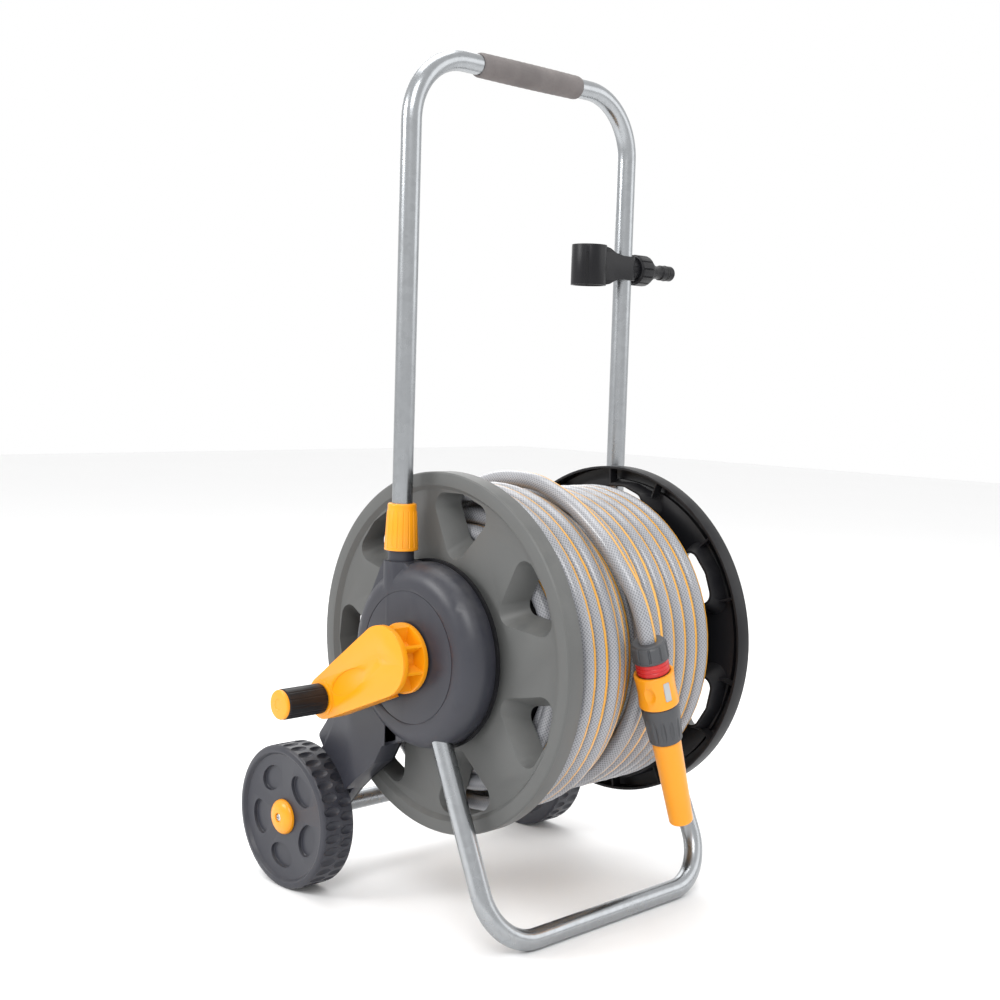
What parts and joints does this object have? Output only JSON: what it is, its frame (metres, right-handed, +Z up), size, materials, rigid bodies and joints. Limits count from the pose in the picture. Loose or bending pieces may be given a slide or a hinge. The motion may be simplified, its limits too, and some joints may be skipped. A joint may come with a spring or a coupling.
{
  "type": "garden hose reel cart",
  "caption": "Two-wheeled hose reel cart: flanged drum wound with hose on side frames, side crank, tube foot, telescopic tube handle with foam grip, nozzle and tap connector.",
  "frame": {"origin": "bottom centre of the cart's bounding box without the hose and its fittings, on the floor", "axes": "+Z up, +X along the drum axis from the crank side to the water inlet side, +Y towards the wheels"},
  "size_m": [0.494, 0.4458, 0.8575],
  "materials": {
    "steel_tube": "galvanised, satin",
    "slate_plastic": "fine moulded texture",
    "black_plastic": "fine moulded texture",
    "grey_plastic": "satin moulded",
    "connector_grey": "satin moulded",
    "yellow_plastic": "satin gloss",
    "red_plastic": "gloss",
    "ivory_plastic": "self-lubricating",
    "zinc_screws": "zinc plated",
    "foam": "closed-cell foam",
    "seal_rubber": "matt",
    "hose_pvc": "braided clear cover with a stripe"
  },
  "bodies": {
    "chassis": {"foot_tube": "steel_tube", "axle_tube": "steel_tube", "side_plate_left": "black_plastic", "side_plate_right": "black_plastic", "hub_cover_left": "slate_plastic", "hub_cover_right": "slate_plastic", "leg_guide_left": "slate_plastic", "leg_guide_right": "slate_plastic", "drum_bush_left": "ivory_plastic", "drum_bush_right": "ivory_plastic", "cover_screws_left": "zinc_screws", "cover_screws_right": "zinc_screws", "foot_rivets": "zinc_screws", "wheel_cap_left": "yellow_plastic", "wheel_cap_right": "yellow_plastic", "wheel_screws": "zinc_screws", "water_inlet": "black_plastic", "inlet_o_ring": "seal_rubber"},
    "handle": {"handle_tube": "steel_tube", "foam_grip": "foam", "leg_plugs": "black_plastic", "nozzle_holder": "black_plastic"},
    "tap_connector": {"tap_connector": "black_plastic", "tap_washer": "seal_rubber"},
    "collar_left": {"collar_left": "yellow_plastic"},
    "collar_right": {"collar_right": "yellow_plastic"},
    "reel": {"flange_left": "grey_plastic", "flange_right": "black_plastic", "core_left": "black_plastic", "core_right": "black_plastic", "drum_screws": "zinc_screws", "drive_shaft": "black_plastic", "swivel_pipe": "black_plastic", "outlet_pipe": "black_plastic", "crank_arm": "yellow_plastic", "crank_screw": "zinc_screws", "hose_winding": "hose_pvc", "hose_tail": "hose_pvc", "hose_nut": "connector_grey", "stop_collar": "red_plastic", "connector_core": "connector_grey", "nozzle_body": "connector_grey"},
    "knob": {"knob_grip": "black_plastic", "knob_cap": "yellow_plastic"},
    "wheel_left": {"wheel_left": "slate_plastic"},
    "wheel_right": {"wheel_right": "slate_plastic"},
    "release_sleeve": {"release_sleeve": "yellow_plastic"},
    "nozzle_jet": {"nozzle_jet": "yellow_plastic"}
  },
  "joints": [
    {"name": "handle_slide", "type": "slide", "parent": "chassis", "child": "handle", "axis": [0, 0, 1], "range_m": [-0.18, 0]},
    {"name": "collar_left_twist", "type": "hinge", "parent": "chassis", "child": "collar_left", "pos_m": [-0.1455, -0.003, 0.39], "axis": [0, 0, 1], "range_deg": [0, 90]},
    {"name": "collar_right_twist", "type": "hinge", "parent": "chassis", "child": "collar_right", "pos_m": [0.1655, -0.003, 0.39], "axis": [0, 0, 1], "range_deg": [0, 90]},
    {"name": "reel_spin", "type": "hinge", "parent": "chassis", "child": "reel", "pos_m": [0.01, -0.0345, 0.269], "axis": [1, 0, 0], "continuous": true},
    {"name": "knob_spin", "type": "hinge", "parent": "reel", "child": "knob", "pos_m": [-0.22, 0.05383, 0.218], "axis": [1, 0, 0], "continuous": true},
    {"name": "wheel_left_spin", "type": "hinge", "parent": "chassis", "child": "wheel_left", "pos_m": [-0.164, 0.1365, 0.075], "axis": [1, 0, 0], "continuous": true},
    {"name": "wheel_right_spin", "type": "hinge", "parent": "chassis", "child": "wheel_right", "pos_m": [0.184, 0.1365, 0.075], "axis": [1, 0, 0], "continuous": true},
    {"name": "sleeve_release", "type": "slide", "parent": "reel", "child": "release_sleeve", "axis": [-0.3173, 0, 0.9483], "range_m": [0, 0.0035], "stiffness_N_per_m": 900, "springref_m": -0.002},
    {"name": "jet_twist", "type": "hinge", "parent": "reel", "child": "nozzle_jet", "pos_m": [0.0276, -0.2135, 0.15475], "axis": [0.3173, 0, -0.9483], "range_deg": [0, 180]},
    {"name": "tap_connector_pull", "type": "slide", "parent": "handle", "child": "tap_connector", "axis": [1, 0, 0], "range_m": [0, 0.03]}
  ]
}
